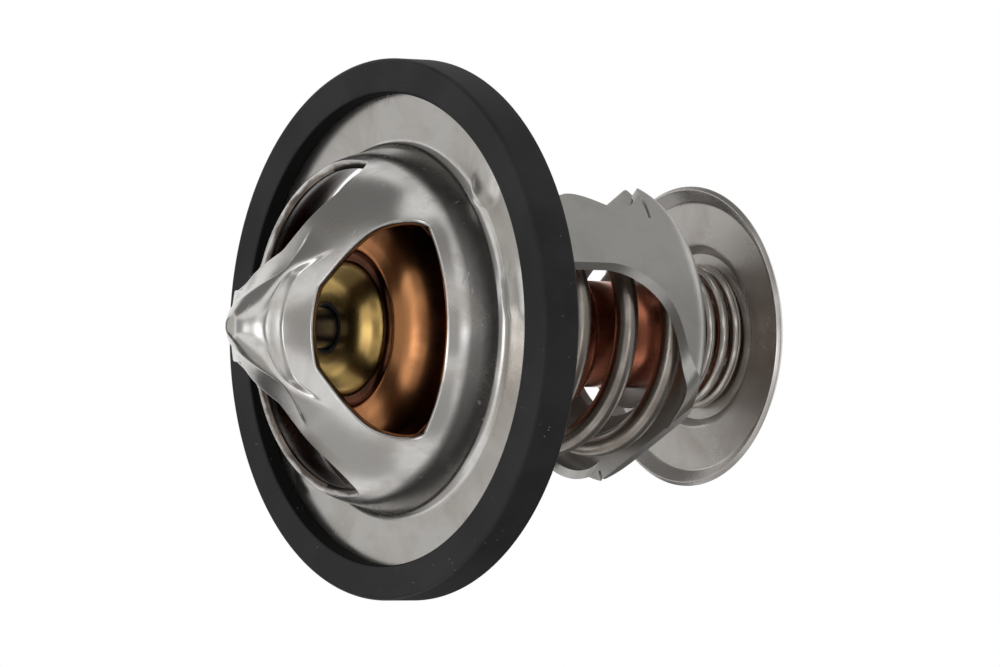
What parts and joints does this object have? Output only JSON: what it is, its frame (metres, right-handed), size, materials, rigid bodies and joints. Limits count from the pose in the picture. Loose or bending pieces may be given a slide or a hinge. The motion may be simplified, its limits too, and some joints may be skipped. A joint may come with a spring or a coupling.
{
  "type": "engine thermostat",
  "caption": "Engine coolant thermostat with rubber seal ring, domed bridge, sprung wax valve and sprung bypass disc.",
  "frame": {"origin": "on the axis, halfway up the rubber seal ring", "axes": "+Z along the axis from the bypass disc up to the nose, +X towards the middle of one window"},
  "size_m": [0.062, 0.062, 0.07],
  "materials": {
    "seal_rubber": "matte, moulded",
    "bridge_steel": "polished pressing",
    "frame_steel": "matte pressing",
    "spring_steel": "drawn wire",
    "pin_steel": "ground, dark",
    "valve_copper": "satin, copper coloured",
    "cup_copper": "drawn and polished, copper coloured",
    "guide_brass": "turned",
    "disc_steel": "polished pressing",
    "boot_rubber": "matte",
    "backup_plastic": "matte",
    "wax": "waxy, filled with copper powder"
  },
  "bodies": {
    "housing": {"seal_ring": "seal_rubber", "upper_bridge": "bridge_steel", "lower_frame": "frame_steel", "piston_pin": "pin_steel", "main_spring": "spring_steel"},
    "valve": {"valve_plate": "valve_copper", "capsule_cup": "cup_copper", "guide": "guide_brass", "wiper_ring": "boot_rubber", "backup_washer": "backup_plastic", "rubber_boot": "boot_rubber", "wax_charge": "wax", "bypass_spring_seat": "disc_steel", "bypass_stem": "pin_steel", "stem_clip": "spring_steel", "bypass_spring": "spring_steel"},
    "bypass": {"bypass_disc": "disc_steel"}
  },
  "joints": [
    {"name": "valve_lift", "type": "slide", "parent": "housing", "child": "valve", "axis": [0, 0, -1], "range_m": [0, 0.008], "stiffness_N_per_m": 2500, "springref_m": -0.01, "deforming": ["main_spring"]},
    {"name": "bypass_slide", "type": "slide", "parent": "valve", "child": "bypass", "axis": [0, 0, 1], "range_m": [0, 0.0028], "stiffness_N_per_m": 900, "springref_m": -0.005, "deforming": ["bypass_spring"]}
  ]
}
